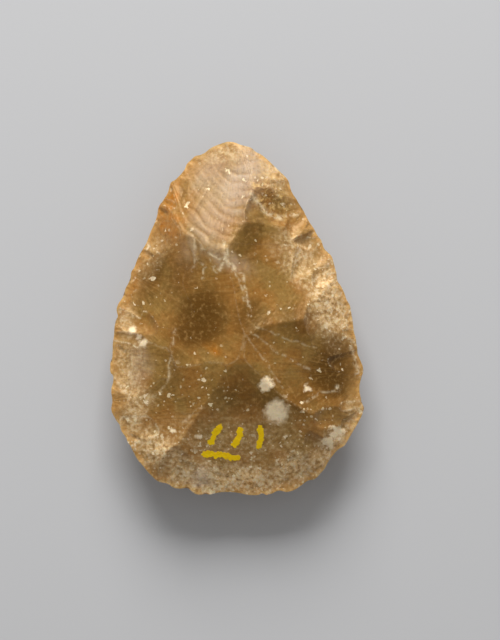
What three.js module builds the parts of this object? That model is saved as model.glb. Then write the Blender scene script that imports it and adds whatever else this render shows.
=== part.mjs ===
// A knapped flint hand axe: a pear-shaped stone, flaked over both faces to a sharp edge all round.
// It lies on its back face. Millimetres, +Z up, tip towards +Y, origin under the middle of its box.
//
// The solid is made as the real one is. Each face starts as a plain dome over the outline, and flakes are
// struck off it from the edge, one after another. A flake leaves a shallow bowl that runs in from the edge
// and ends on the surface that was there before it. The edge is where the two faces meet.
import * as THREE from "three";

// Driving dimensions
const EDGE_HEIGHT = 11.5; // mean height of the edge above the ground
const FRONT_RISE = 13.6; // top of the front dome above the edge
const BACK_RISE = 12.6; // depth of the back dome below the edge, before the flat that it lies on
const FULLNESS = 2.5; // power of the domes' profile: 1 is a cone, and a higher one is flatter on top
const RINGS = 26; // rings of triangles on each face

// What every flake does
const BITE = 0.2; // how deep a blow cuts below the edge
const ARCH = 0.3; // how far a flake follows the swell of the old surface: 0 cuts straight through it
const SPREAD = [0.8, 1.2]; // its width at the edge and at its end, as shares of its mean width
const SIDES = { least: 0.3, share: 0.35 }; // least rise to its sides: in mm, and as a share of its hollow
const RUN_OUT = { length: 0.3, rise: 0.5 }; // past its end: how steeply it lifts, over that share of its reach
const UNEVENNESS = { share: 0.005, most: 0.11 }; // of its surface: as a share of its reach, and in mm
const FEATHER = 0.15; // how far a trimming flake's bowl ends above the old surface

// The outline in plan: distance from CENTRE to the edge at equal bearings, clockwise from the tip.
const CENTRE = new THREE.Vector2(1, -4);
const RIM_RADII = [
  45.8, 39.3, 31.6, 29.6, 26.5, 26.8, 27.8, 31.0, 34.4, 36.2, 39.1, 40.1,
  40.0, 40.6, 41.4, 39.0, 37.1, 33.8, 31.4, 31.8, 31.2, 32.9, 38.6, 46.2,
];

// Main flakes, in the order they were struck: bearing of the blow, where the flake ends, its width and the
// depth of its hollow.
const FRONT_FLAKES = [
  [286, [2, -3], 40, 0.6],
  [236, [-3, -12], 30, 0.8],
  [107, [2, -4], 28, 0.9],
  [44, [-1.5, 7], 30, 0.9],
  [176, [1, -10], 58, 0.9],
  [298, [-11.5, 10], 22, 0.8],
  [261, [-17.5, -8], 25, 1.1],
  [336, [-5.5, 15.5], 53, 1.2],
  [320, [-14.5, 21.5], 11, 0.5],
  [24, [5.5, 31], 11, 0.9],
  [73, [17.5, 3.5], 22, 0.7],
  [41, [15.5, 19.5], 10, 0.3],
  [101, [19.5, -9.5], 15, 0.5],
];
const BACK_FLAKES = [
  [82, [4, -2], 36, 0.6],
  [252, [-2, -7], 34, 0.6],
  [148, [4, -13], 30, 0.9],
  [206, [-2, -13], 26, 0.9],
  [12, [0, 9], 40, 1.3],
  [332, [-5, 9], 20, 0.8],
  [50, [10, 6], 24, 0.9],
  [112, [14, -9], 24, 1.0],
  [284, [-12, 0], 25, 1.0],
  [180, [1, -29], 22, 0.8],
];

// Blows that took a visible notch out of the edge: bearing, width along the edge and depth.
const NOTCHES = [
  [20, 6, 0.5],
  [144, 8, 0.7],
  [185, 9, 0.7],
  [322, 6, 0.4],
  [331, 5, 0.3],
  [342, 5, 0.3],
];
const NOTCH = { reach: 0.6, hollow: 0.15 }; // its reach as a share of its width, and its hollow in mm

// Trimming: short flakes all round the edge, the size of each drawn from these ranges. The hollow is a share
// of the reach, skew is how far the blow may turn from square, and flakes are smaller towards the tip.
const TRIM = { reach: [3, 8.5], width: [4, 10], bite: [0.02, 0.3], hollow: 0.035, skew: 0.9, tip: 0.45 };
const FRONT_TRIM = { count: 36, series: 24 };
const BACK_TRIM = { count: 30, series: 82 };

// How the edge is found between the two faces: where the search starts, as a share of the rim's radius, its
// step, and how often that step is halved.
const SEARCH = { start: 0.75, step: 0.005, halvings: 20 };

const radians = THREE.MathUtils.degToRad;
const { lerp, clamp, euclideanModulo } = THREE.MathUtils;

// A repeatable number from 0 to 1 for draw number i of series k.
function scatter(i, k) {
  const v = Math.sin(i * 127.1 + k * 311.7) * 43758.5453;
  return v - Math.floor(v);
}

// Distance from CENTRE to the outline at a bearing, as a smooth curve through RIM_RADII.
function rimRadius(bearing) {
  const n = RIM_RADII.length;
  const place = (euclideanModulo(bearing, 360) * n) / 360;
  const i = Math.floor(place);
  const f = place - i;
  const [a, b, c, d] = [-1, 0, 1, 2].map((k) => RIM_RADII[(i + k + n) % n]);
  return b + 0.5 * f * (c - a + f * (2 * a - 5 * b + 4 * c - d + f * (3 * (b - c) + d - a)));
}

function rimPoint(bearing, share = 1) {
  const a = radians(bearing);
  const r = share * rimRadius(bearing);
  return new THREE.Vector2(CENTRE.x + r * Math.sin(a), CENTRE.y + r * Math.cos(a));
}

// Where (x, y) lies: its bearing, and its distance from CENTRE as a share of the outline's.
function place(x, y) {
  const [dx, dy] = [x - CENTRE.x, y - CENTRE.y];
  const bearing = THREE.MathUtils.radToDeg(Math.atan2(dx, dy));
  return [bearing, Math.hypot(dx, dy) / rimRadius(bearing)];
}

// The edge's own rise and fall, seen from the side.
function edgeWave(bearing) {
  const a = radians(bearing);
  return 0.6 * Math.sin(2 * a + 0.6) + 0.35 * Math.sin(5 * a + 2);
}

// A broken surface is never quite even: a low swell, with its own phase for each flake.
function swell(x, y, phase) {
  return Math.sin(0.33 * x + 0.19 * y + phase) + Math.sin(0.27 * y - 0.43 * x + 2.1 * phase);
}

// The hollow along a flake's run: 0 at both ends and 1 where it is deepest, a third of the way in.
function dip(along) {
  return 6.75 * along * (1 - along) * Math.abs(1 - along);
}

// One face of the stone. Heights are measured out from the level of the edge, so that the front and the
// back are worked the same way: side is 1 for the front and -1 for the back.
class Face {
  constructor(side, rise) {
    this.side = side;
    this.rise = rise;
    this.scars = [];
  }

  dome(x, y) {
    const [bearing, share] = place(x, y);
    const edge = this.side * edgeWave(bearing) * Math.min(share, 1) ** 2;
    return edge + this.rise * (1 - share ** FULLNESS);
  }

  // A scar's bowl: hollow along its run, lifting to both sides, and lifting sharply past its end.
  bowl(scar, x, y) {
    const [dx, dy] = [x - scar.start.x, y - scar.start.y];
    const along = (dx * scar.aim.x + dy * scar.aim.y) / scar.reach;
    const half = (scar.width / 2) * lerp(...SPREAD, clamp(along, 0, 1.2));
    const wide = (dy * scar.aim.x - dx * scar.aim.y) / half;
    const past = Math.max(along - 1, 0) / RUN_OUT.length;
    const arch = 4 * scar.arch * along * (1 - along);
    const floor = lerp(scar.from, scar.to, along) + arch - scar.hollow * dip(along);
    const sides = 0.5 * scar.lift * (wide ** 2 + wide ** 4);
    const end = (scar.lift + RUN_OUT.rise) * past ** 2;
    return floor + sides + end + scar.unevenness * swell(x, y, scar.phase);
  }

  height(x, y) {
    return this.scars.reduce((low, scar) => Math.min(low, this.bowl(scar, x, y)), this.dome(x, y));
  }

  // Strikes one flake from the edge at a bearing to the point end, on what the earlier flakes have left.
  strike(bearing, end, width, hollow, bite = BITE, feather = 0) {
    const start = rimPoint(bearing);
    const run = end.clone().sub(start);
    const middle = start.clone().lerp(end, 0.5);
    const from = this.side * edgeWave(bearing) - bite;
    const to = this.height(end.x, end.y) + feather;
    // The crown is how far the old surface rises above a straight cut.
    const crown = this.height(middle.x, middle.y) - (from + to) / 2;
    const arch = ARCH * Math.max(crown, 0);
    this.scars.push({
      start,
      from,
      to,
      width,
      hollow,
      arch,
      aim: run.clone().normalize(),
      reach: run.length(),
      lift: Math.max(crown - arch + dip(0.5) * hollow, SIDES.share * hollow + SIDES.least),
      phase: 1.7 * this.scars.length + this.side,
      unevenness: Math.min(UNEVENNESS.share * run.length(), UNEVENNESS.most),
    });
  }

  // Strikes a short flake square to the edge, or turned by skew.
  trim(bearing, reach, width, hollow, skew, bite) {
    const along = rimPoint(bearing + 1).sub(rimPoint(bearing - 1)).normalize();
    const inward = new THREE.Vector2(along.y, -along.x);
    const aim = inward.addScaledVector(along, skew).normalize();
    this.strike(bearing, rimPoint(bearing).addScaledVector(aim, reach), width, hollow, bite, FEATHER);
  }

  trimAround({ count, series }) {
    for (let i = 0; i < count; i++) {
      const draw = (k) => scatter(i, series + k);
      const bearing = ((i + 0.9 * (draw(0) - 0.5)) * 360) / count;
      const size = 1 - TRIM.tip * Math.abs(Math.cos(radians(bearing / 2))) ** 6;
      const reach = size * lerp(...TRIM.reach, draw(1));
      this.trim(
        bearing,
        reach,
        size * lerp(...TRIM.width, draw(2)),
        reach * TRIM.hollow,
        TRIM.skew * (draw(3) - 0.5),
        lerp(...TRIM.bite, draw(4)),
      );
    }
  }
}

function knap(side, rise, flakes, trimming) {
  const face = new Face(side, rise);
  for (const [bearing, [x, y], width, hollow] of flakes)
    face.strike(bearing, new THREE.Vector2(x, y), width, hollow);
  face.trimAround(trimming);
  for (const [bearing, width, depth] of NOTCHES)
    face.trim(bearing, NOTCH.reach * width, width, NOTCH.hollow, 0, depth);
  return face;
}

const front = knap(1, FRONT_RISE, FRONT_FLAKES, FRONT_TRIM);
const back = knap(-1, BACK_RISE, BACK_FLAKES, BACK_TRIM);

// Level of a face above the ground. The back is flat where it would reach below it.
function level(face, x, y) {
  return Math.max(EDGE_HEIGHT + face.side * face.height(x, y), 0);
}

// The share of the rim's radius at which the two faces meet.
function edgeShare(bearing) {
  const thickness = (share) => {
    const { x, y } = rimPoint(bearing, share);
    return level(front, x, y) - level(back, x, y);
  };
  let inside = SEARCH.start;
  while (inside + SEARCH.step < 1 && thickness(inside + SEARCH.step) > 0) inside += SEARCH.step;
  let outside = Math.min(inside + SEARCH.step, 1);
  for (let i = 0; i < SEARCH.halvings; i++) {
    const middle = (inside + outside) / 2;
    if (thickness(middle) > 0) inside = middle;
    else outside = middle;
  }
  return inside;
}

// Bearings that cut the outline into equal lengths: entry k of the table is k / steps of the way round.
function bearingsByLength(steps) {
  const fine = 20 * steps;
  const lengths = [0];
  for (let i = 1; i <= fine; i++) {
    const span = rimPoint((i * 360) / fine).distanceTo(rimPoint(((i - 1) * 360) / fine));
    lengths.push(lengths[i - 1] + span);
  }
  let i = 0;
  return Array.from({ length: steps }, (_, k) => {
    while (lengths[i + 1] < (k * lengths[fine]) / steps) i++;
    return (i * 360) / fine;
  });
}

// A disc of rings around a middle point, ring k with 6 k points, so that its triangles are nearly equal.
// Returns each point as [share of the radius, share of the way round], and the triangles.
function disc(rings) {
  const points = [[0, 0]];
  const triangles = [];
  const first = (ring) => (ring ? 1 + 3 * ring * (ring - 1) : 0);
  const index = (ring, i) => first(ring) + (ring ? i % (6 * ring) : 0);
  for (let ring = 1; ring <= rings; ring++) {
    for (let i = 0; i < 6 * ring; i++) {
      points.push([ring / rings, i / (6 * ring)]);
      const inner = i - Math.floor(i / ring);
      triangles.push([index(ring, i + 1), index(ring, i), index(ring - 1, inner)]);
      if (i % ring)
        triangles.push([index(ring, i), index(ring - 1, inner - 1), index(ring - 1, inner)]);
    }
  }
  return { points, triangles, rim: first(rings) };
}

// Both faces as one closed surface: the back repeats the disc, and shares the edge's points with the front.
function buildStone() {
  const { points, triangles, rim } = disc(RINGS);
  const bearings = bearingsByLength(6 * RINGS);
  const shares = bearings.map(edgeShare);
  const vertices = { front: [], back: [] };
  for (const [share, turn] of points) {
    const at = turn * bearings.length;
    const i = Math.floor(at);
    const next = (i + 1) % bearings.length;
    const bearing = lerp(bearings[i], bearings[next] + (next ? 0 : 360), at - i);
    const { x, y } = rimPoint(bearing, share * lerp(shares[i], shares[next], at - i));
    vertices.front.push([x, y, level(front, x, y)]);
    vertices.back.push([x, y, level(back, x, y)]);
  }
  const twin = (i) => (i < rim ? points.length + i : i);
  const positions = [...vertices.front, ...vertices.back.slice(0, rim)];
  const faces = [...triangles, ...triangles.map(([a, b, c]) => [twin(a), twin(c), twin(b)])];
  const geometry = new THREE.BufferGeometry();
  geometry.setAttribute("position", new THREE.Float32BufferAttribute(positions.flat(), 3));
  geometry.setIndex(faces.flat());
  geometry.computeBoundingBox();
  const middle = geometry.boundingBox.getCenter(new THREE.Vector3());
  geometry.translate(-middle.x, -middle.y, -geometry.boundingBox.min.z);
  geometry.computeVertexNormals();
  return geometry;
}

const honeyFlint = new THREE.MeshStandardMaterial({ color: 0x9a7238, roughness: 0.38, metalness: 0 });
const axe = new THREE.Mesh(buildStone(), honeyFlint);
axe.name = "hand_axe";

const model = new THREE.Group();
model.add(axe);
export default model;
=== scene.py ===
"""A knapped flint hand axe that lies on its back face, seen from straight above on a pale studio floor.

The stone is knapped here as it is in the CAD part: each face is a dome over the outline, and flakes
are struck off it from the edge, one after another. The mesh is finer than the part's, and adds what
that leaves out: nibbling along the edge, ripples and hackles in the scars, and the grain of the break.
"""

import bpy
import numpy as np
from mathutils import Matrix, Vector

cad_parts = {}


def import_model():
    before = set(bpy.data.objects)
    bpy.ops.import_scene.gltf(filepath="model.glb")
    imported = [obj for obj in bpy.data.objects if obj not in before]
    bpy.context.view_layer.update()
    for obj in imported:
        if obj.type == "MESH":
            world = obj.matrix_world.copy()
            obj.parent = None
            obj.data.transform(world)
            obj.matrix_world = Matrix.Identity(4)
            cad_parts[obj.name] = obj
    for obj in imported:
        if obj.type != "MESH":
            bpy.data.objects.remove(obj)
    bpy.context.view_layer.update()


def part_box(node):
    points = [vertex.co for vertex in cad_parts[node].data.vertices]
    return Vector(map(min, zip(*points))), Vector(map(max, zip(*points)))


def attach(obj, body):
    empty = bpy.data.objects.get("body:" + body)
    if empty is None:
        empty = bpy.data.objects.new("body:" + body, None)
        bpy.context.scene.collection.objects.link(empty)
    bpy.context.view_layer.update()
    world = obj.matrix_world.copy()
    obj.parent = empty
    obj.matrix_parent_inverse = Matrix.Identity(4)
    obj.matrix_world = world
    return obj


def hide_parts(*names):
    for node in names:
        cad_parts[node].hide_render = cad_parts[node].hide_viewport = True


MM = 0.001

# The stone, in millimetres, +Z up and the tip towards +Y
EDGE_HEIGHT = 11.5  # mean height of the edge above the ground
FRONT_RISE = 13.6  # top of the front dome above the edge
BACK_RISE = 12.6  # depth of the back dome below the edge, before the flat that it lies on
FULLNESS = 2.5  # power of the domes' profile
ARCH = 0.3  # how far a flake follows the swell of the old surface: 0 cuts straight through it
BITE = 0.2  # how deep a blow cuts below the edge
SPREAD = (0.8, 1.2)  # a flake's width at the edge and at its end, as shares of its mean width
SIDES = {"least": 0.3, "share": 0.35}  # least rise to its sides: in mm, and as a share of its hollow
RUN_OUT = {"length": 0.3, "rise": 0.5}  # past its end: it lifts by that more than at its sides, so soon
UNEVENNESS = {"share": 0.005, "most": 0.11}  # of its surface: as a share of its reach, and in mm
RINGS = 128  # rings of triangles on each face
EDGE_SMOOTHING = 3  # how often the edge's fine teeth are averaged with their neighbours
SHARP_ANGLE = 60  # degrees between two triangles, past which the fold between them stays sharp

CENTRE = np.array([1.0, -4.0])
# Distance from CENTRE to the edge at equal bearings, clockwise from the tip
RIM_RADII = np.array([
    45.8, 39.3, 31.6, 29.6, 26.5, 26.8, 27.8, 31.0, 34.4, 36.2, 39.1, 40.1,
    40.0, 40.6, 41.4, 39.0, 37.1, 33.8, 31.4, 31.8, 31.2, 32.9, 38.6, 46.2,
])

# Main flakes in the order they were struck: bearing of the blow, where the flake ends, its width,
# the depth of its hollow, and the height of the ripples in it.
FRONT_FLAKES = [
    (286, (2, -3), 40, 0.6, 0.02),
    (236, (-3, -12), 30, 0.8, 0.02),
    (107, (2, -4), 28, 0.9, 0.04),
    (44, (-1.5, 7), 30, 0.9, 0.03),
    (176, (1, -10), 58, 0.9, 0.02),
    (298, (-11.5, 10), 22, 0.8, 0.05),
    (261, (-17.5, -8), 25, 1.1, 0.04),
    (336, (-5.5, 15.5), 53, 1.2, 0.12),
    (320, (-14.5, 21.5), 11, 0.5, 0.02),
    (24, (5.5, 31), 11, 0.9, 0.03),
    (73, (17.5, 3.5), 22, 0.7, 0.04),
    (41, (15.5, 19.5), 10, 0.3, 0.02),
    (101, (19.5, -9.5), 15, 0.5, 0.03),
]
BACK_FLAKES = [
    (82, (4, -2), 36, 0.6, 0.03),
    (252, (-2, -7), 34, 0.6, 0.03),
    (148, (4, -13), 30, 0.9, 0.03),
    (206, (-2, -13), 26, 0.9, 0.03),
    (12, (0, 9), 40, 1.3, 0.10),
    (332, (-5, 9), 20, 0.8, 0.05),
    (50, (10, 6), 24, 0.9, 0.04),
    (112, (14, -9), 24, 1.0, 0.04),
    (284, (-12, 0), 25, 1.0, 0.04),
    (180, (1, -29), 22, 0.8, 0.03),
]
TIP_SCAR = 7  # on the front: its ripples are long arcs round a point by the tip, squeezed sideways
RIPPLE_CENTRE = np.array([-0.5, 44.0])
RIPPLE_SQUEEZE = 1.6
RIPPLE_LENGTH = 2.3

# Blows that took a visible notch out of the edge: bearing, width along the edge and depth
NOTCHES = [(20, 6, 0.5), (144, 8, 0.7), (185, 9, 0.7), (322, 6, 0.4), (331, 5, 0.3), (342, 5, 0.3)]
NOTCH = {"reach": 0.6, "hollow": 0.15}  # its reach as a share of its width, and its hollow in mm

# Short flakes all round the edge, or between two bearings, the size of each drawn from ranges. The
# hollow is a share of the reach, skew is how far the blow may turn from square, and feather how far a
# bowl ends above the old surface. The trimming is the CAD part's own. Chips crush the butt, and
# nibbling runs all along the edge.
TRIM = {
    "reach": (3, 8.5),
    "width": (4, 10),
    "bite": (0.02, 0.3),
    "hollow": 0.035,
    "skew": 0.9,
    "feather": 0.15,
}
CHIPS = {
    "reach": (3, 8),
    "width": (3, 7),
    "bite": (-0.3, 0.05),
    "hollow": 0.09,
    "skew": 0.9,
    "feather": 0.1,
}
NIBBLES = {
    "reach": (0.8, 3.4),
    "width": (1.2, 4.2),
    "bite": (-0.15, 0.0),
    "hollow": 0.07,
    "skew": 1.4,
    "feather": 0.06,
}
JITTER = 0.9  # how far such a blow strays from its place, as a share of their spacing
TIP_SHRINK = 0.45  # how much smaller such flakes are at the tip

# How many of them, the number of their random series, their ranges, and the bearings they lie between
FRONT_SERIES = [
    (36, 24, TRIM, (0, 360)),
    (16, 330, CHIPS, (138, 232)),
    (130, 224, NIBBLES, (0, 360)),
]
BACK_SERIES = [
    (30, 82, TRIM, (0, 360)),
    (14, 340, CHIPS, (140, 230)),
    (120, 282, NIBBLES, (0, 360)),
]

# Ripples in the scars: crests that lie RIPPLE_LENGTH apart, and whose phase wanders by an amount over
# lumps of a size. They fade in from the blow, and lie in patches of a size, between two strengths.
RIPPLE_BENDS = [(3.4, 7, 3), (1.4, 2.5, 13)]  # amount, size and random series
RIPPLE_ONSET = 1.6  # how fast they fade in: at 1 they are full only at the flake's end
RIPPLE_PATCHES = {"size": 5, "strength": (0.25, 1.2), "series": 31}
RIPPLE_OVERTONE = (0.35, 0.8)  # strength and phase of the finer ripple on each

# Fine relief: height in mm, size of its lumps in mm and random series
TORN_GRAIN = [(1, 0.9, 7), (0.65, 0.45, 8)]
EVEN_GRAIN = [(0.02, 1.6, 9), (0.035, 4.5, 10)]
CRUSHED_DEPTH = 1.2  # how far in from the edge the stone is crushed
TORN_HEIGHTS = {"crushed": 0.10, "rough": 0.09, "bloom_and_painted_light": 0.05}  # how strong the torn grain is there

# Ridges: how far down they are worn in mm, between main scars and between small ones, and the painted
# highlight, a pale line, that some of them carry
WEAR = {"main": 0.22, "small": 0.05}
ARRIS = {"width": 0.07, "main": 0.25, "series": 41}
LINE_WOBBLE = (0.35, 1.4)  # of the painted highlight lines below: how far, and over what length

# Streaks run away from each blow. Their pattern is shifted from scar to scar, and is as wide as at
# that share of the flake's reach, or at a fixed distance where no flake was struck.
STREAK_SHIFT = 9.7
STREAK_ARM = 0.75
DOME_ARM = 18


def scatter(i, k):
    """A repeatable number from 0 to 1 for draw number i of series k."""
    v = np.sin(i * 127.1 + k * 311.7) * 43758.5453
    return v - np.floor(v)


def draw(limits, share):
    """The value that lies at a share of the way from one limit to the other."""
    return limits[0] + (limits[1] - limits[0]) * share


def noise(x, y, size, series):
    """Smooth noise from -1 to 1, with lumps of that size."""
    u, v = x / size, y / size
    i, j = np.floor(u), np.floor(v)
    f, g = u - i, v - j
    f, g = f * f * (3 - 2 * f), g * g * (3 - 2 * g)

    def corner(a, b):
        return scatter((i + a) + 57.3 * (j + b), series)

    low = corner(0, 0) * (1 - f) + corner(1, 0) * f
    high = corner(0, 1) * (1 - f) + corner(1, 1) * f
    return 2 * (low * (1 - g) + high * g) - 1


def rim_radius(bearing):
    """Distance from CENTRE to the outline, as a smooth curve through RIM_RADII."""
    n = len(RIM_RADII)
    place = np.mod(bearing, 360) * n / 360
    i = np.floor(place).astype(int)
    f = place - i
    a, b, c, d = (RIM_RADII[(i + k) % n] for k in (-1, 0, 1, 2))
    return b + 0.5 * f * (c - a + f * (2 * a - 5 * b + 4 * c - d + f * (3 * (b - c) + d - a)))


def rim_point(bearing, share=1.0):
    a, r = np.radians(bearing), share * rim_radius(bearing)
    return CENTRE[0] + r * np.sin(a), CENTRE[1] + r * np.cos(a)


def polar(x, y):
    """The bearing of (x, y) from CENTRE, and its distance from there as a share of the outline's."""
    dx, dy = x - CENTRE[0], y - CENTRE[1]
    bearing = np.degrees(np.arctan2(dx, dy))
    return bearing, np.hypot(dx, dy) / rim_radius(bearing)


def edge_wave(bearing):
    """The edge's own rise and fall, seen from the side."""
    a = np.radians(bearing)
    return 0.6 * np.sin(2 * a + 0.6) + 0.35 * np.sin(5 * a + 2)


def dip(along):
    """The hollow along a flake's run: 0 at both ends and 1 at its deepest, a third of the way in."""
    return 6.75 * along * (1 - along) * np.abs(1 - along)


class Scar:
    """The shallow bowl that one flake left."""

    def __init__(self, start, end, width, hollow, ripple=0.0):
        self.start, self.width, self.hollow, self.ripple = np.array(start), width, hollow, ripple
        self.reach = np.hypot(*(end - self.start))
        self.aim = (end - self.start) / self.reach

    def local(self, x, y):
        """How far along the flake's run (x, y) lies, and how far to its side."""
        dx, dy = x - self.start[0], y - self.start[1]
        along = (dx * self.aim[0] + dy * self.aim[1]) / self.reach
        half = self.width / 2 * draw(SPREAD, np.clip(along, 0, 1.2))
        return along, (dy * self.aim[0] - dx * self.aim[1]) / half

    def height(self, x, y):
        along, wide = self.local(x, y)
        past = np.maximum(along - 1, 0) / RUN_OUT["length"]
        straight = draw((self.low, self.high), along)
        floor = straight + 4 * self.arch * along * (1 - along) - self.hollow * dip(along)
        sides = 0.5 * self.lift * (wide**2 + wide**4)
        end = (self.lift + RUN_OUT["rise"]) * past**2
        swell = np.sin(0.33 * x + 0.19 * y + self.phase)
        swell += np.sin(0.27 * y - 0.43 * x + 2.1 * self.phase)
        return floor + sides + end + self.unevenness * swell


class Face:
    """One face of the stone, with side 1 on the front and -1 on the back. Heights are measured out
    from the level of the edge."""

    def __init__(self, side, rise):
        self.side, self.rise, self.scars = side, rise, []

    def dome(self, x, y):
        bearing, share = polar(x, y)
        edge = self.side * edge_wave(bearing) * np.minimum(share, 1) ** 2
        return edge + self.rise * (1 - share**FULLNESS)

    def height(self, x, y):
        low = self.dome(x, y)
        for scar in self.scars:
            low = np.minimum(low, scar.height(x, y))
        return low

    def level(self, x, y):
        """Height above the ground. The back is flat where it would reach below it."""
        return np.maximum(EDGE_HEIGHT + self.side * self.height(x, y), 0)

    def strike(self, bearing, scar, bite=BITE, feather=0.0):
        """Gives a scar its depth, on what the earlier flakes have left."""
        end = scar.start + scar.reach * scar.aim
        middle = (scar.start + end) / 2
        scar.low = self.side * edge_wave(bearing) - bite
        scar.high = self.height(*end) + feather
        crown = self.height(*middle) - (scar.low + scar.high) / 2
        scar.arch = ARCH * max(crown, 0)
        least = SIDES["share"] * scar.hollow + SIDES["least"]
        scar.lift = max(crown - scar.arch + dip(0.5) * scar.hollow, least)
        scar.phase = 1.7 * len(self.scars) + self.side
        scar.unevenness = min(UNEVENNESS["share"] * scar.reach, UNEVENNESS["most"])
        self.scars.append(scar)

    def trim(self, bearing, reach, width, hollow, skew, bite, feather):
        """Strikes a short flake square to the edge, or turned by skew."""
        along = np.subtract(rim_point(bearing + 1), rim_point(bearing - 1))
        along /= np.hypot(*along)
        aim = np.array([along[1], -along[0]]) + skew * along
        start = np.array(rim_point(bearing))
        scar = Scar(start, start + reach * aim / np.hypot(*aim), width, hollow)
        self.strike(bearing, scar, bite, feather)

    def trim_around(self, count, series, ranges, between):
        spacing = (between[1] - between[0]) / count
        for i in range(count):
            bearing = between[0] + (i + JITTER * (scatter(i, series) - 0.5)) * spacing
            size = 1 - TIP_SHRINK * abs(np.cos(np.radians(bearing / 2))) ** 6
            reach = size * draw(ranges["reach"], scatter(i, series + 1))
            width = size * draw(ranges["width"], scatter(i, series + 2))
            skew = ranges["skew"] * (scatter(i, series + 3) - 0.5)
            bite = draw(ranges["bite"], scatter(i, series + 4))
            self.trim(bearing, reach, width, reach * ranges["hollow"], skew, bite, ranges["feather"])


def knap(side, rise, flakes, series):
    face = Face(side, rise)
    for bearing, end, width, hollow, ripple in flakes:
        face.strike(bearing, Scar(rim_point(bearing), np.array(end), width, hollow, ripple))
    face.trim_around(*series[0])
    for bearing, width, depth in NOTCHES:
        face.trim(bearing, NOTCH["reach"] * width, width, NOTCH["hollow"], 0, depth, TRIM["feather"])
    for finer in series[1:]:
        face.trim_around(*finer)
    return face


def edge_shares(front, back, bearings):
    """The share of the rim's radius at which the two faces meet, at each bearing."""

    def thick(share):
        x, y = rim_point(bearings, share)
        return front.level(x, y) - back.level(x, y) > 0

    inside = np.full(len(bearings), 0.75)
    step = 0.005
    going = np.ones(len(bearings), bool)
    while going.any():
        going &= (inside + step < 1) & thick(inside + step)
        inside[going] += step
    outside = np.minimum(inside + step, 1)
    for _ in range(14):
        middle = (inside + outside) / 2
        solid = thick(middle)
        inside, outside = np.where(solid, middle, inside), np.where(solid, outside, middle)
    return inside


def bearings_by_length(steps):
    """Bearings that cut the outline into equal lengths."""
    fine = np.linspace(0, 360, 20 * steps + 1)
    x, y = rim_point(fine)
    lengths = np.concatenate([[0], np.cumsum(np.hypot(np.diff(x), np.diff(y)))])
    return np.interp(np.arange(steps) / steps * lengths[-1], lengths, fine)


def disc(rings):
    """A disc of rings round a middle point, ring k with 6 k points. Each point is a share of the
    radius and a share of the way round."""
    points, triangles = [(0.0, 0.0)], []

    def index(ring, i):
        return 1 + 3 * ring * (ring - 1) + i % (6 * ring) if ring else 0

    for ring in range(1, rings + 1):
        for i in range(6 * ring):
            points.append((ring / rings, i / (6 * ring)))
            inner = i - i // ring
            triangles.append((index(ring, i + 1), index(ring, i), index(ring - 1, inner)))
            if i % ring:
                triangles.append((index(ring, i), index(ring - 1, inner - 1), index(ring - 1, inner)))
    return np.array(points), np.array(triangles), index(rings, 0)


# What colours the stone, place by place: centre, half length and half width in mm, how far it is
# turned in degrees, and strength. They follow the real piece on the front, and are plainer on the back.
FRONT_STAINS = {
    # milky grey-pink patina, with painted sheen where the facets would mirror the softbox
    "veil_and_sheen": [
        ((1, 33), (10, 5), 62, 0.8),
        ((-6, 35), (6, 4), 60, 0.45),
        ((-6, 25), (11, 5), 62, 0.4),
        ((-2, 15), (6, 2.5), -30, 0.4),
        ((-9, -38.5), (3, 1.8), 10, 0.6),
        ((-23, -11), (6, 3), 80, 0.25),
    ],
    # weathered to a pale tan, and painted light: brighter on the flanks where side lamps would fall,
    # and lifted over the lower face and butt that turn from the light
    "bloom_and_painted_light": [
        ((22, 4), (10, 4), 100, 0.95),
        ((15, 15), (7, 4), 120, 0.65),
        ((26, 0), (5, 2.5), 90, 0.8),
        ((-27, -1), (4, 2.5), 90, 0.5),
        ((-26, -13), (7, 4), 90, 0.6),
        ((-25, -22), (7, 3.5), 75, 0.7),
        ((-19, -32), (8, 4), -40, 0.9),
        ((-11, -38), (8, 4), -15, 0.9),
        ((2, -39.5), (13, 4), 0, 1.0),
        ((13, -37), (9, 4), 30, 0.9),
        ((22, -32), (7, 3.5), 50, 0.7),
        ((0, -30), (20, 7), 0, 0.26),
        ((28, -24), (4, 2.5), 80, 0.5),
        ((-20, 16), (10, 2.5), 62, 0.2),
        ((9, 35), (6, 2.5), -60, 0.45),
        ((-3, 40.5), (6, 2.5), 0, 0.6),
    ],
    # clear and dark
    "clear": [
        ((-9, 0), (8, 7), 60, 0.9),
        ((3, -18), (11, 5), 0, 0.5),
        ((3, 0), (6, 4.5), 0, 0.55),
        ((15, -1), (6, 5), 20, 0.45),
        ((-21, 10), (9, 3.5), 66, 0.6),
        ((-15, -10), (7, 3), 80, 0.4),
        ((1.5, 19), (6, 1.3), 82, 0.5),
        ((5.8, 21), (6, 1.2), 88, 0.5),
        ((23.5, -12), (9, 6.5), 90, 0.95),
        ((15, -20), (6, 4), 30, 0.5),
        ((3, 19), (3.5, 6), 0, 0.5),
        ((-13, 10), (8, 5), 70, 0.45),
    ],
    # stained orange; the thin bands along the left edge are the painted glow of light through the thin
    # stone
    "amber_and_glow": [
        ((-16.5, 22.5), (3.6, 2.8), 60, 0.8),
        ((-17, 28), (7, 1.4), 62, 0.7),
        ((-6, -7), (3, 1.6), -30, 0.6),
        ((-25, 9), (9, 1.2), 68, 0.4),
    ],
    # how thick the pale specks lie, some of them painted glints
    "specks_and_glints": [
        ((0, -35), (26, 9), 0, 0.9),
        ((-6, -18), (10, 5), 0, 0.5),
        ((-20, -20), (9, 10), 0, 0.5),
        ((24, 8), (14, 5), 100, 0.8),
        ((9.5, 30), (6, 4), -50, 0.9),
        ((18, -25), (9, 7), 0, 0.45),
        ((-22, 12), (14, 4), 65, 0.4),
    ],
    # a crystalline patch by the tip that broke unevenly
    "rough": [((7.8, 29), (5.5, 3.6), -60, 1.0), ((8.6, 34.5), (4, 1.6), -60, 0.7)],
}
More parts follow.
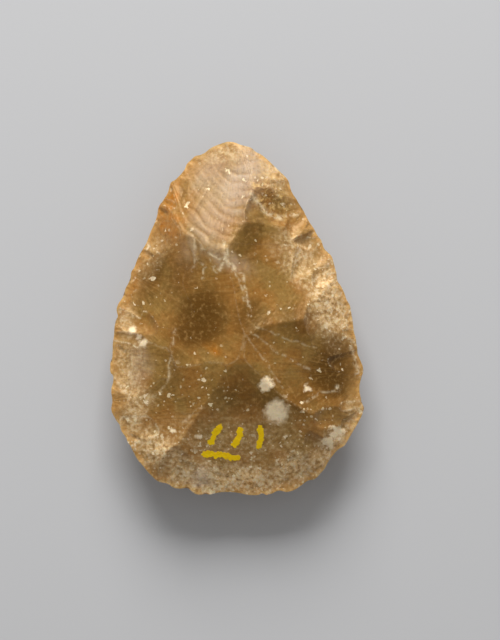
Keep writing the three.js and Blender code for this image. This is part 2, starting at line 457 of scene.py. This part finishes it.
BACK_STAINS = {
    "veil_and_sheen": [((4, 18), (16, 9), 70, 0.6), ((-14, -16), (9, 7), 20, 0.35)],
    "bloom_and_painted_light": [
        ((-20, -4), (14, 5), 95, 0.5),
        ((10, -34), (12, 5), 10, 0.5),
        ((20, 8), (9, 4), 110, 0.4),
    ],
    "clear": [((2, -12), (14, 12), 0, 0.6)],
    "amber_and_glow": [((14, 22), (6, 3), -60, 0.5)],
    "specks_and_glints": [((0, -30), (24, 10), 0, 0.5), ((-16, 12), (12, 6), 60, 0.4)],
    "rough": [],
}

# Ridges and cracks that catch the light, painted as thin pale highlight lines on the front: points,
# half width in mm and strength
RIDGE_HIGHLIGHTS = [
    ([(-8.8, 17.2), (-5.5, 14.6), (-2.2, 13.6), (-0.2, 11.6)], 0.3, 0.7),
    ([(-2.8, 18.5), (-2.6, 14.8), (-4.2, 11.8)], 0.35, 0.85),
    ([(-9.6, 14.2), (-7.6, 12.2), (-8.4, 9.6)], 0.25, 0.5),
    ([(-6.9, 15.8), (-6.2, 12.6), (-4.6, 10.9)], 0.25, 0.5),
    ([(-2.5, 13.5), (0.9, 8.9), (1.9, 4.4)], 0.25, 0.45),
    ([(-10.4, 19.6), (-9.9, 15.2), (-10.6, 11.6)], 0.25, 0.4),
    ([(3.4, -3.2), (10.0, -8.2), (17.4, -12.0)], 0.22, 0.4),
    ([(4.5, -1.8), (11.0, -4.6), (19.0, -7.0)], 0.22, 0.3),
    ([(2.5, -4.6), (7.0, -10.4), (10.8, -16.6)], 0.22, 0.35),
    ([(-1.5, 13), (1.5, 10.3), (3, 1)], 0.3, 0.6),
    ([(-14.9, -2.4), (-15.9, -10), (-16.5, -15.2), (-18.7, -18), (-21.5, -19.6)], 0.35, 0.45),
    ([(-7.9, -21.3), (-10.4, -22.7), (-12.7, -24.7)], 0.35, 0.45),
    ([(3.8, 30), (5.4, 27.2), (7.8, 25.2), (10.6, 24.4), (14.6, 25.6)], 0.5, 0.7),
    ([(8.4, 38.6), (9.6, 36.4), (11.0, 34.0)], 0.35, 0.6),
    ([(16.8, -19.8), (20.6, -18.0), (24.4, -17.6)], 0.25, 0.45),
    ([(27.2, -5), (28.6, -9.5), (29.6, -14)], 0.5, 0.6),
    ([(13.8, 13.2), (16.2, 18.6), (19.4, 21.4)], 0.3, 0.4),
    ([(-11.3, -35.6), (-6.2, -37.2), (-3.4, -36.2)], 0.35, 0.4),
]

# How far the edges of the stains wander: how much, and over what length, in mm
WANDER = [(1.3, 4), (0.5, 1.5)]


def wander(x, y):
    """(x, y) shifted a little, so that what is drawn there has a natural, uneven edge."""
    (broad, length), (fine, short) = WANDER
    dx = broad * noise(x, y, length, 201) + fine * noise(x, y, short, 203)
    dy = broad * noise(x, y, length, 205) + fine * noise(x, y, short, 207)
    return x + dx, y + dy


def blot(x, y, spots):
    """The strength of a stain that is made of soft, ragged ellipses."""
    u, v = wander(x, y)
    total = np.zeros_like(x)
    for centre, (length, width), turn, strength in spots:
        a = np.radians(turn)
        du, dv = u - centre[0], v - centre[1]
        p = (du * np.cos(a) + dv * np.sin(a)) / length
        q = (dv * np.cos(a) - du * np.sin(a)) / width
        total = np.maximum(total, strength * np.exp(-((p**2 + q**2) ** 1.5)))
    return total


def line_distance(x, y, points):
    """Distance to the nearest of the straight runs between the points."""
    nearest = np.full_like(x, np.inf)
    for (ax, ay), (bx, by) in zip(points, points[1:]):
        length_squared = (bx - ax) ** 2 + (by - ay) ** 2
        along = ((x - ax) * (bx - ax) + (y - ay) * (by - ay)) / length_squared
        along = np.clip(along, 0, 1)
        nearest = np.minimum(nearest, np.hypot(x - ax - along * (bx - ax), y - ay - along * (by - ay)))
    return nearest


def layers(x, y, layered, series=0):
    """A sum of noises: each has an amount, a size and a random series."""
    return sum(amount * noise(x, y, size, own + series) for amount, size, own in layered)


def surface(face, x, y, inward, middle):
    """One face at fine points: its level with the ripples and grain of the break, and what its
    material shows.

    inward is each point's distance from the edge, and middle is the middle of the stone's box."""
    heights = np.array([face.dome(x, y)] + [scar.height(x, y) for scar in face.scars])
    order = np.argsort(heights, axis=0)
    owner, neighbour = order[0], order[1]
    lowest, second = np.take_along_axis(heights, order[:2], 0)
    gap = second - lowest

    relief, wave = np.zeros_like(x), np.zeros_like(x)
    away, aside = np.hypot(x, y), DOME_ARM * np.arctan2(x, y)
    for number, scar in enumerate(face.scars):
        here = owner == number + 1
        if not here.any():
            continue
        u, v = x[here], y[here]
        along, _ = scar.local(u, v)
        run = np.hypot(u - scar.start[0], v - scar.start[1])
        turn = np.arctan2(v - scar.start[1], u - scar.start[0])
        rings = run
        if face.side > 0 and number == TIP_SCAR:
            du, dv = u - RIPPLE_CENTRE[0], v - RIPPLE_CENTRE[1]
            rings, turn = np.hypot(RIPPLE_SQUEEZE * du, dv), np.arctan2(dv, RIPPLE_SQUEEZE * du)
        phase = 2 * np.pi * rings / RIPPLE_LENGTH + layers(u, v, RIPPLE_BENDS, number)
        patches = np.abs(noise(u, v, RIPPLE_PATCHES["size"], RIPPLE_PATCHES["series"] + number))
        fade = np.clip(RIPPLE_ONSET * along, 0, 1) * draw(RIPPLE_PATCHES["strength"], patches)
        finer, shift = RIPPLE_OVERTONE
        wave[here] = fade * (np.sin(phase) + finer * np.sin(2 * phase + shift))
        relief[here] += scar.ripple * wave[here]
        away[here], aside[here] = run + STREAK_SHIFT * number, STREAK_ARM * scar.reach * turn

    px, py = x - middle[0], y - middle[1]
    stains = FRONT_STAINS if face.side > 0 else BACK_STAINS
    looks = {name: blot(px, py, spots) for name, spots in stains.items()}
    torn = {"crushed": np.exp(-inward / CRUSHED_DEPTH), **looks}
    uneven = sum(height * torn[name] for name, height in TORN_HEIGHTS.items())
    relief += uneven * layers(x, y, TORN_GRAIN) + layers(x, y, EVEN_GRAIN)

    # Ridges are worn: broadly between the main scars, and hardly at all between the small ones
    mains = len(BACK_FLAKES if face.side < 0 else FRONT_FLAKES)
    wear = np.where((owner <= mains) & (neighbour <= mains), WEAR["main"], WEAR["small"])
    worn = lowest - np.maximum(wear - gap, 0) ** 2 / (4 * wear)

    # Some ridges carry a painted highlight, a pale line, each as strongly as its two scars' draw says
    pair = np.minimum(owner, neighbour) + 17 * np.maximum(owner, neighbour)
    lit = np.clip(1.5 * scatter(pair, ARRIS["series"]) - 0.5, 0, 1)
    lit *= np.where(owner <= mains, ARRIS["main"], 1)
    arris = lit * np.exp(-((gap / ARRIS["width"]) ** 2))
    if face.side > 0:
        wobble, length = LINE_WOBBLE
        u, v = px + wobble * noise(x, y, length, 51), py + wobble * noise(x, y, length, 53)
        for points, half_width, strength in RIDGE_HIGHLIGHTS:
            line = np.exp(-((line_distance(u, v, points) / half_width) ** 2))
            arris = np.maximum(arris, strength * line)
    looks.update(wave=wave, arris=arris, inward=inward, away=away, aside=aside)
    return EDGE_HEIGHT + face.side * (worn + relief), looks


def unwrap(mesh, box):
    """A map for baking: the front seen from above, and the back beside it."""
    low, high = np.array(box[0]), np.array(box[1])
    margin = 0.01
    scale = (1 - 4 * margin) / (2 * (high[0] - low[0]))
    corner = np.zeros(len(mesh.loops), int)
    mesh.loops.foreach_get("vertex_index", corner)
    place = np.zeros(3 * len(mesh.vertices))
    mesh.vertices.foreach_get("co", place)
    place = place.reshape(-1, 3)[corner]
    back = np.arange(len(mesh.loops)) >= len(mesh.loops) // 2
    u = margin + (place[:, 0] - low[0]) * scale
    u = np.where(back, 1 - u, u)
    v = margin + (place[:, 1] - low[1]) * scale
    layer = mesh.uv_layers.new(name="OFBake")
    layer.data.foreach_set("uv", np.stack([u, v], 1).ravel())


def build_stone(box):
    """The stone, knapped on both faces and set in the middle of the CAD part's box."""
    front = knap(1, FRONT_RISE, FRONT_FLAKES, FRONT_SERIES)
    back = knap(-1, BACK_RISE, BACK_FLAKES, BACK_SERIES)
    points, triangles, rim = disc(RINGS)
    bearings = bearings_by_length(6 * RINGS)
    shares = edge_shares(front, back, bearings)
    for _ in range(EDGE_SMOOTHING):
        shares = (np.roll(shares, 1) + 2 * shares + np.roll(shares, -1)) / 4
    at = points[:, 1] * len(bearings)
    place = np.arange(len(bearings) + 1)
    bearing = np.interp(at, place, np.append(bearings, bearings[0] + 360))
    share = np.interp(at, place, np.append(shares, shares[0]))
    x, y = rim_point(bearing, points[:, 0] * share)
    inward = (1 - points[:, 0]) * share * rim_radius(bearing)
    middle = np.array([(x.min() + x.max()) / 2, (y.min() + y.max()) / 2])
    top, looks = surface(front, x, y, inward, middle)
    bottom, back_looks = surface(back, x, y, inward, middle)
    bottom = np.maximum(bottom, 0)
    at_rim = points[:, 0] == 1
    top = np.where(at_rim, (top + bottom) / 2, np.maximum(top, bottom))

    # The back repeats the disc, and shares the edge's points with the front
    twin = np.arange(len(x)) + np.where(np.arange(len(x)) < rim, len(x), 0)
    across = np.stack([x, y], 1) - middle
    upper, lower = np.column_stack([across, top]), np.column_stack([across, bottom])[:rim]
    vertices = np.concatenate([upper, lower]) * MM
    vertices[:, :2] += [(box[0].x + box[1].x) / 2, (box[0].y + box[1].y) / 2]
    faces = np.concatenate([triangles, twin[triangles[:, ::-1]]])
    mesh = bpy.data.meshes.new("hand_axe_stone")
    mesh.from_pydata(vertices.tolist(), [], faces.tolist())
    looks["front"], back_looks["front"] = np.ones_like(x), np.zeros_like(x)
    for name, values in looks.items():
        whole = np.concatenate([values, back_looks[name][:rim]])
        attribute = mesh.attributes.new(name, "FLOAT", "POINT")
        attribute.data.foreach_set("value", whole.astype(np.float32))
    unwrap(mesh, box)
    mesh.shade_smooth()
    mesh.set_sharp_from_angle(angle=np.radians(SHARP_ANGLE))
    return bpy.data.objects.new("stone", mesh)


class Nodes:
    """Short names for making a material's nodes."""

    def __init__(self, material):
        material.use_nodes = True
        self.tree = material.node_tree
        self.tree.nodes.clear()

    def add(self, kind, **settings):
        node = self.tree.nodes.new(kind)
        for name, value in settings.items():
            setattr(node, name, value)
        return node

    def put(self, socket, value):
        if isinstance(value, bpy.types.NodeSocket):
            self.tree.links.new(value, socket)
        else:
            socket.default_value = value

    def fill(self, node, *values):
        for socket, value in zip(node.inputs, values):
            self.put(socket, value)
        return node

    def math(self, operation, *values, clamp=False):
        node = self.add("ShaderNodeMath", operation=operation, use_clamp=clamp)
        return self.fill(node, *values).outputs[0]

    def times(self, *values):
        total = values[0]
        for value in values[1:]:
            total = self.math("MULTIPLY", total, value)
        return total

    def plus(self, a, b):
        return self.math("ADD", a, b)

    def vector(self, operation, *values):
        node = self.fill(self.add("ShaderNodeVectorMath", operation=operation), *values)
        return node.outputs["Value" if operation in ("LENGTH", "DOT_PRODUCT") else "Vector"]

    def scaled(self, vector, by):
        node = self.add("ShaderNodeVectorMath", operation="SCALE")
        self.put(node.inputs[0], vector)
        self.put(node.inputs["Scale"], by)
        return node.outputs["Vector"]

    def step(self, value, low, high):
        """0 at low, 1 at high and smooth between them."""
        node = self.add("ShaderNodeMapRange", interpolation_type="SMOOTHSTEP")
        for name, number in (("Value", value), ("From Min", low), ("From Max", high)):
            self.put(node.inputs[name], number)
        return node.outputs["Result"]

    def noise(self, where, size, detail=2.0, output="Fac"):
        """Noise round 0.5 with lumps of that size."""
        node = self.add("ShaderNodeTexNoise")
        for name, value in (("Vector", where), ("Scale", 1 / size), ("Detail", detail)):
            self.put(node.inputs[name], value)
        return node.outputs[output]

    def pattern(self, where, size, detail, low, high):
        """Noise that is nothing where its value is low, and full where it is high."""
        return self.step(self.noise(where, size, detail), low, high)

    def mix(self, share, under, over):
        node = self.add("ShaderNodeMix", data_type="RGBA")
        self.put(node.inputs["Factor"], share)
        for name, colour in (("A", under), ("B", over)):
            self.put(next(s for s in node.inputs if s.name == name and s.type == "RGBA"), colour)
        return next(s for s in node.outputs if s.type == "RGBA")

    def attribute(self, name):
        return self.add("ShaderNodeAttribute", attribute_name=name).outputs["Fac"]

    def dots(self, where, spacing, radius, series):
        """Round dots, one to a cell: their radius runs up to a share of the spacing."""
        cells = self.add("ShaderNodeTexVoronoi", voronoi_dimensions="2D")
        self.put(cells.inputs["Vector"], self.vector("ADD", where, (series, 2.3 * series, 0)))
        self.put(cells.inputs["Scale"], 1 / spacing)
        draws = self.fill(self.add("ShaderNodeSeparateColor"), cells.outputs["Color"]).outputs
        size = self.math("MULTIPLY", draws["Red"], radius)
        inside = self.math("SUBTRACT", size, cells.outputs["Distance"])
        return self.step(inside, -0.03, 0.05), draws["Green"], draws["Blue"]


def srgb(r, g, b):
    """A colour from its usual 0 to 255 values, as Blender's linear one."""
    shares = (r / 255, g / 255, b / 255)
    linear = (c / 12.92 if c < 0.04045 else ((c + 0.055) / 1.055) ** 2.4 for c in shares)
    return (*linear, 1)


# Colours of the stone, and of what is in it and on it
OLIVE = srgb(144, 110, 54)
RUSSET = srgb(152, 105, 46)
CLEAR = srgb(88, 56, 8)
# the honey and edge colours below are the painted glow of light through the thin stone towards its edge
HONEY = srgb(180, 134, 74)
EDGE = srgb(214, 164, 98)
# the amber colour below is also the painted glow along the left edge
AMBER_AND_GLOW = srgb(180, 110, 24)
# the bloom colour below is also painted light on the flanks and the butt
BLOOM_AND_LIGHT = srgb(228, 190, 136)
# the veil colour below is also painted sheen
VEIL_AND_SHEEN = srgb(208, 188, 166)
SHADE = srgb(120, 90, 62)
FLECK = srgb(196, 154, 92)
# the pale colour below is also the painted glints and ridge highlights
PALE = srgb(244, 224, 184)
CREAM = srgb(255, 232, 192)
PAINT = srgb(255, 210, 0)
CRUMB = srgb(240, 200, 130)

# Cream inclusions: centre, radius, how ragged their edge is and how softly it fades, in millimetres
INCLUSIONS = [
    ((9.5, -22.4), 2.6, 0.7, 1.1),
    ((7.0, -15.5), 1.7, 0.8, 0.6),
    ((24.4, -27.4), 1.8, 1.1, 0.5),
    ((22.2, -30.2), 1.4, 1.2, 0.5),
    ((-25.4, -2.8), 0.9, 0.4, 0.5),
    ((-23.8, -4.4), 0.6, 0.5, 0.4),
    ((-22.6, -5.9), 0.9, 0.5, 0.5),
    ((-15.2, -27.0), 0.6, 0.5, 0.4),
    ((17.0, -16.8), 0.8, 0.6, 0.5),
    ((-9.0, -28.6), 0.7, 0.6, 0.4),
]

# The collection's mark, as plain dabs of a brush: the points that each dab runs through, in millimetres
MARK_STROKES = [
    [(-4.2, -26.1), (-5.4, -28.0), (-6.4, -30.0)],
    [(0.8, -26.7), (0.5, -28.4), (-0.7, -30.4)],
    [(5.6, -26.3), (5.9, -28.4), (5.2, -30.8)],
    [(-7.8, -32.6), (-4.0, -32.9), (0.2, -33.7)],
]
MARK_WIDTH = 1.55
MARK_EDGE = (0.35, 0.15)  # outside that, where the paint begins and where it is full
MARK_TEAR = {"shift": 1.6, "bite": (0.8, 0.6)}  # of its edge: lump size and depth of the bites

# Patterns in the stone: the size of their lumps in mm, their detail, and the values of the noise
# between which they grow from nothing to full
CLOUDS = (7, 4, 0.36, 0.64)
MOTTLE = (2.2, 5, 0.3, 0.7)
CRUST = (0.9, 5, 0.5, 0.62)
CRUST_GAPS = (0.9, 5, 0.46, 0.36)
EDGE_PATCHES = (6, 2, 0.3, 0.6)
STREAK_PATCHES = (5, 3, 0.35, 0.62)
PALE_GRAIN = (0.9, 5, 0.5, 0.75)
DARK_GRAIN = (0.9, 5, 0.5, 0.25)
CRUMBS = (1.3, 5, 0.45, 0.66)
HIGHLIGHT_BREAKS = (1.1, 4, 0.36, 0.6)
CREAM_SHADES = (1.6, 3, 0.3, 0.6)

# How much of each colour lies over what is under it
SHARES = {
    # the honey and edge shares paint the glow of light through the thin stone
    "honey": 0.7,
    "crust": 0.75,
    "crust gaps": 0.55,
    "shade": 0.5,
    "edge": 0.7,
    "clear edge": 0.5,
    "pale streaks": 0.22,
    "dark streaks": 0.3,
    "pale grain": 0.3,
    "dark grain": 0.35,
    "crumbs": 0.6,
    "highlight_lines": 0.85,
}
BLOOM_MOTTLES = (0.4, 0.8)  # of the bloom and its painted light: what shows everywhere, and what its mottles add
AMBER_LEAST = 0.4
VEIL_CRESTS = (0.32, 0.75)  # of the veil and its painted sheen, brighter on the ripples' crests: what a ripple's height adds, and what shows at its middle
VEIL_TROUGHS = (-0.2, -1.1)  # the height of the ripples where the shade between them begins and is full
CLEAR_EDGE = (0.3, 0.8)  # how clear the stone is where its edge begins to darken, and where it is dark
HONEY_GLOW_BAND = (7, 0.5)  # from where in from the edge the painted honey glow of the thin stone begins, to where it is full
EDGE_GLOW_BAND = (2.7, 1.2)  # the same for the painted glow of the thinnest edge, whose place wavers by EDGE_WAVER
EDGE_WAVER = {"size": 1.6, "by": 2.4}
STREAK_SCALE = (1.1, 0.12, 1)  # streaks to the millimetre: across, along and through
STREAK_DETAIL = 4
PALE_STREAKS = (0.52, 0.7)  # the values of their noise where the pale ones begin and are full
DARK_STREAKS = (0.48, 0.3)
TEARS = (1.2, 3)  # lump size and detail of the noise that makes edges ragged
SPECKS = [(0.9, 0.36, 0.5), (2.0, 0.28, 0.8)]  # spacing in mm, radius as a share of it, and strength
SPECK_CHANCE = {"least": 0.05, "stained": 0.42}  # the share of places that hold one
SPECK_TEAR = 1.2  # how ragged they are, as a share of their spacing
SPECK_LEAST = 0.35  # the strength of the weakest
CREAM_TEAR = 4  # how strongly the raggedness of the inclusions counts
CREAM_MOTTLES = (0.75, 0.2)
GLOSS = {"patches": (3, 4), "least": 0.24, "more": 0.2}  # the roughness of the fresh flint
MATT = {"more": 0.3, "bloom_and_painted_light": 0.6}  # what paint, inclusions and bloom add to it
BUMPS = {"size": (0.7, 5), "grain": 0.12, "rough": 0.25, "paint": 0.05, "streaks": 0.12}
BUMP_STRENGTH = 0.8


def nearest_stroke(n, where):
    """Distance in the plane from a point to the nearest dab of the mark."""
    nearest = None
    for points in MARK_STROKES:
        for start, end in zip(points, points[1:]):
            a, span = Vector((*start, 0)), Vector((*end, 0)) - Vector((*start, 0))
            from_start = n.vector("SUBTRACT", where, a)
            reach = n.vector("DOT_PRODUCT", from_start, span)
            along = n.math("DIVIDE", reach, span.length_squared, clamp=True)
            distance = n.vector("LENGTH", n.vector("SUBTRACT", from_start, n.scaled(span, along)))
            nearest = distance if nearest is None else n.math("MINIMUM", nearest, distance)
    return nearest


def body_colour(n, look, space):
    """Clouded honey flint, darker where it is clear, with a painted glow of light through the thin
    stone towards the edge.
    """
    colour = n.mix(n.pattern(space, *CLOUDS), OLIVE, RUSSET)
    colour = n.mix(look["clear"], colour, CLEAR)
    # Painted glow of light through the thin stone, towards the edge
    return n.mix(n.times(n.step(look["inward"], *HONEY_GLOW_BAND), SHARES["honey"]), colour, HONEY)


def weathered_and_painted_light(n, look, space, colour):
    """A pale crusty bloom that also paints light on the flanks and butt, the milky veil with painted
    sheen on the ripples' crests and painted shade in their troughs, amber stains with a painted glow
    along the left edge, and the painted glow of the thin edge.
    """
    mottle = n.pattern(space, *MOTTLE)
    least, more = BLOOM_MOTTLES
    # Pale bloom, and painted light on the flanks and over the butt
    colour = n.mix(n.times(look["bloom_and_painted_light"], n.plus(least, n.times(mottle, more))), colour, BLOOM_AND_LIGHT)
    for pattern, name, over in ((CRUST, "crust", PALE), (CRUST_GAPS, "crust gaps", RUSSET)):
        colour = n.mix(n.times(look["bloom_and_painted_light"], n.pattern(space, *pattern), SHARES[name]), colour, over)
    # Veil, with painted sheen rising on the ripples' crests and painted shade in their troughs
    crests = n.math("MULTIPLY_ADD", look["wave"], *VEIL_CRESTS)
    troughs = n.step(look["wave"], *VEIL_TROUGHS)
    colour = n.mix(n.times(look["veil_and_sheen"], crests), colour, VEIL_AND_SHEEN)
    colour = n.mix(n.times(look["veil_and_sheen"], troughs, SHARES["shade"]), colour, SHADE)
    # Amber stains, and the painted glow along the left edge
    colour = n.mix(n.times(look["amber_and_glow"], n.plus(AMBER_LEAST, mottle)), colour, AMBER_AND_GLOW)
    # Painted glow of light through the thinnest edge
    waver = n.times(n.noise(space, EDGE_WAVER["size"], 3), EDGE_WAVER["by"])
    rim = n.step(n.plus(look["inward"], waver), *EDGE_GLOW_BAND)
    colour = n.mix(n.times(rim, n.pattern(space, *EDGE_PATCHES), SHARES["edge"]), colour, EDGE)
    clear = n.step(look["clear"], *CLEAR_EDGE)
    return n.mix(n.times(clear, SHARES["clear edge"]), colour, CLEAR)


def streaked(n, space, streaks, colour):
    """Hackles and wisps along the streaks, and a fine grain all over."""
    patches = n.pattern(space, *STREAK_PATCHES)
    pale, dark = n.step(streaks, *PALE_STREAKS), n.step(streaks, *DARK_STREAKS)
    colour = n.mix(n.times(pale, patches, SHARES["pale streaks"]), colour, FLECK)
    colour = n.mix(n.times(dark, patches, SHARES["dark streaks"]), colour, CLEAR)
    colour = n.mix(n.times(n.pattern(space, *PALE_GRAIN), SHARES["pale grain"]), colour, FLECK)
    return n.mix(n.times(n.pattern(space, *DARK_GRAIN), SHARES["dark grain"]), colour, CLEAR)


def specked(n, look, plane, ragged, colour):
    """Pale specks of two sizes, some of them painted glints, most of them where the stone is weathered.
    """
    level = n.vector("MULTIPLY", ragged, (1, 1, 0))
    chance = n.plus(n.times(look["specks_and_glints"], SPECK_CHANCE["stained"]), SPECK_CHANCE["least"])
    for spacing, radius, share in SPECKS:
        torn = n.vector("ADD", plane, n.scaled(level, SPECK_TEAR * spacing))
        dots, keep, strength = n.dots(torn, spacing, radius, spacing)
        kept = n.step(n.math("SUBTRACT", chance, keep), -0.03, 0.03)
        # Pale specks, some of them painted glints
        colour = n.mix(n.times(dots, kept, share, n.plus(SPECK_LEAST, strength)), colour, PALE)
    return colour


def cream_spots(n, look, space, plane, ragged):
    """Where the front's cream inclusions lie."""
    cream = None
    for centre, radius, tear, fade in INCLUSIONS:
        from_centre = n.vector("SUBTRACT", plane, (*centre, 0))
        torn = n.vector("ADD", from_centre, n.scaled(ragged, CREAM_TEAR * tear))
        spot = n.step(n.vector("LENGTH", torn), radius + fade, radius - fade)
        cream = spot if cream is None else n.math("MAXIMUM", cream, spot)
    least, more = CREAM_MOTTLES
    mottles = n.plus(least, n.times(n.pattern(space, *CREAM_SHADES), more))
    return n.times(cream, look["front"], mottles)


def painted_mark(n, look, plane, ragged):
    """Where the brush left paint on the front."""
    brushed = n.vector("ADD", plane, n.scaled(ragged, MARK_TEAR["shift"]))
    size, depth = MARK_TEAR["bite"]
    edge = n.plus(nearest_stroke(n, brushed), n.times(n.noise(plane, size, 2), depth))
    begins, full = (MARK_WIDTH / 2 + outside for outside in MARK_EDGE)
    return n.times(n.step(edge, begins, full), look["front"])


def flint_material():
    """Honey flint: the colours of its body, patina, streaks, specks, inclusions and mark, with the
    painted light, sheen, shade, glow and highlights among them, its gloss and its fine bumps."""
    material = bpy.data.materials.new("honey_flint")
    n = Nodes(material)
    names = (*FRONT_STAINS, "wave", "arris", "inward", "front")
    look = {name: n.attribute(name) for name in names}
    space = n.scaled(n.add("ShaderNodeTexCoord").outputs["Object"], 1 / MM)
    plane = n.vector("MULTIPLY", space, (1, 1, 0))
    ragged = n.vector("SUBTRACT", n.noise(plane, *TEARS, "Color"), (0.5, 0.5, 0.5))
    flow = n.fill(n.add("ShaderNodeCombineXYZ"), n.attribute("aside"), n.attribute("away"))
    streaks = n.noise(n.vector("MULTIPLY", flow.outputs[0], STREAK_SCALE), 1, STREAK_DETAIL)

    colour = weathered_and_painted_light(n, look, space, body_colour(n, look, space))
    colour = streaked(n, space, streaks, colour)
    crumbs = n.times(look["rough"], n.pattern(space, *CRUMBS))
    colour = n.mix(n.times(crumbs, SHARES["crumbs"]), colour, CRUMB)
    # Painted highlights along the ridges
    highlight_lines = n.times(look["arris"], n.pattern(space, *HIGHLIGHT_BREAKS), SHARES["highlight_lines"])
    colour = specked(n, look, plane, ragged, n.mix(highlight_lines, colour, PALE))
    cream = cream_spots(n, look, space, plane, ragged)
    paint = painted_mark(n, look, plane, ragged)
    colour = n.mix(paint, n.mix(cream, colour, CREAM), PAINT)

    # Glossy where the flint is fresh, and matt where it is weathered or painted
    gloss = n.plus(GLOSS["least"], n.times(n.noise(space, *GLOSS["patches"]), GLOSS["more"]))
    matt = n.math("MAXIMUM", n.math("MAXIMUM", cream, paint), n.times(look["bloom_and_painted_light"], MATT["bloom_and_painted_light"]))
    roughness = n.math("ADD", gloss, n.times(matt, MATT["more"]), clamp=True)

    grain = n.plus(BUMPS["grain"], n.times(look["rough"], BUMPS["rough"]))
    height = n.plus(n.times(n.noise(space, *BUMPS["size"]), grain), n.times(paint, BUMPS["paint"]))
    height = n.plus(height, n.times(streaks, BUMPS["streaks"]))
    bump = n.add("ShaderNodeBump")
    for name, value in (("Strength", BUMP_STRENGTH), ("Distance", MM), ("Height", height)):
        n.put(bump.inputs[name], value)

    shader = n.add("ShaderNodeBsdfPrincipled")
    settings = {
        "Base Color": colour,
        "Roughness": roughness,
        "Normal": bump.outputs["Normal"],
        "IOR": 1.54,
        "Specular IOR Level": 0.4,
        "Specular Tint": srgb(255, 222, 178),
        "Subsurface Weight": 0.18,
        "Subsurface Radius": (1.0, 0.55, 0.2),
        "Subsurface Scale": 2 * MM,
    }
    for name, value in settings.items():
        n.put(shader.inputs[name], value)
    output = n.add("ShaderNodeOutputMaterial")
    n.put(output.inputs["Surface"], shader.outputs["BSDF"])
    return material


def plain_material(name, colour, roughness):
    material = bpy.data.materials.new(name)
    material.use_nodes = True
    shader = material.node_tree.nodes["Principled BSDF"]
    shader.inputs["Base Color"].default_value = colour
    shader.inputs["Roughness"].default_value = roughness
    return material


def link(obj):
    bpy.context.scene.collection.objects.link(obj)
    return obj


def add_floor():
    mesh = bpy.data.meshes.new("floor")
    half = 3.0
    corners = [(-half, -half, 0), (half, -half, 0), (half, half, 0), (-half, half, 0)]
    mesh.from_pydata(corners, [], [(0, 1, 2, 3)])
    mesh.materials.append(plain_material("studio_floor", srgb(194, 194, 195), 0.9))
    floor = link(bpy.data.objects.new("floor", mesh))


def add_lights():
    """A broad, low softbox beyond the tip, and the studio's own glow from everywhere else."""
    light = bpy.data.lights.new("softbox", "AREA")
    light.shape = "RECTANGLE"
    light.size, light.size_y = 0.7, 0.6
    light.energy = 15.2
    lamp = link(bpy.data.objects.new("softbox", light))
    bearing, elevation, distance = np.radians(-4), np.radians(33.5), 1.1
    level = np.cos(elevation)
    away = Vector((np.sin(bearing) * level, np.cos(bearing) * level, np.sin(elevation)))
    lamp.location = distance * away
    lamp.rotation_euler = (-away).to_track_quat("-Z", "Y").to_euler()
    world = bpy.data.worlds.new("studio")
    world.use_nodes = True
    glow = world.node_tree.nodes["Background"]
    glow.inputs["Color"].default_value = (1, 1, 1, 1)
    glow.inputs["Strength"].default_value = 0.35
    bpy.context.scene.world = world


def add_camera():
    """Straight above, with the image's height covering view_height at the level of the stone's edge."""
    view_height, distance = 0.1553, 0.7
    aside, ahead = 0.00315, -0.00036  # where it looks, from the middle of the stone
    camera = bpy.data.cameras.new("camera")
    camera.sensor_width = 36
    camera.lens = 36 * distance / view_height
    eye = link(bpy.data.objects.new("camera", camera))
    eye.location = (aside, ahead, EDGE_HEIGHT * MM + distance)
    bpy.context.scene.camera = eye


def main():
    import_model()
    stone = link(build_stone(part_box("hand_axe")))
    stone.data.materials.append(flint_material())
    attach(stone, "root")
    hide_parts("hand_axe")
    add_floor()
    add_lights()
    add_camera()
    bpy.context.scene.view_settings.view_transform = "Standard"


main()
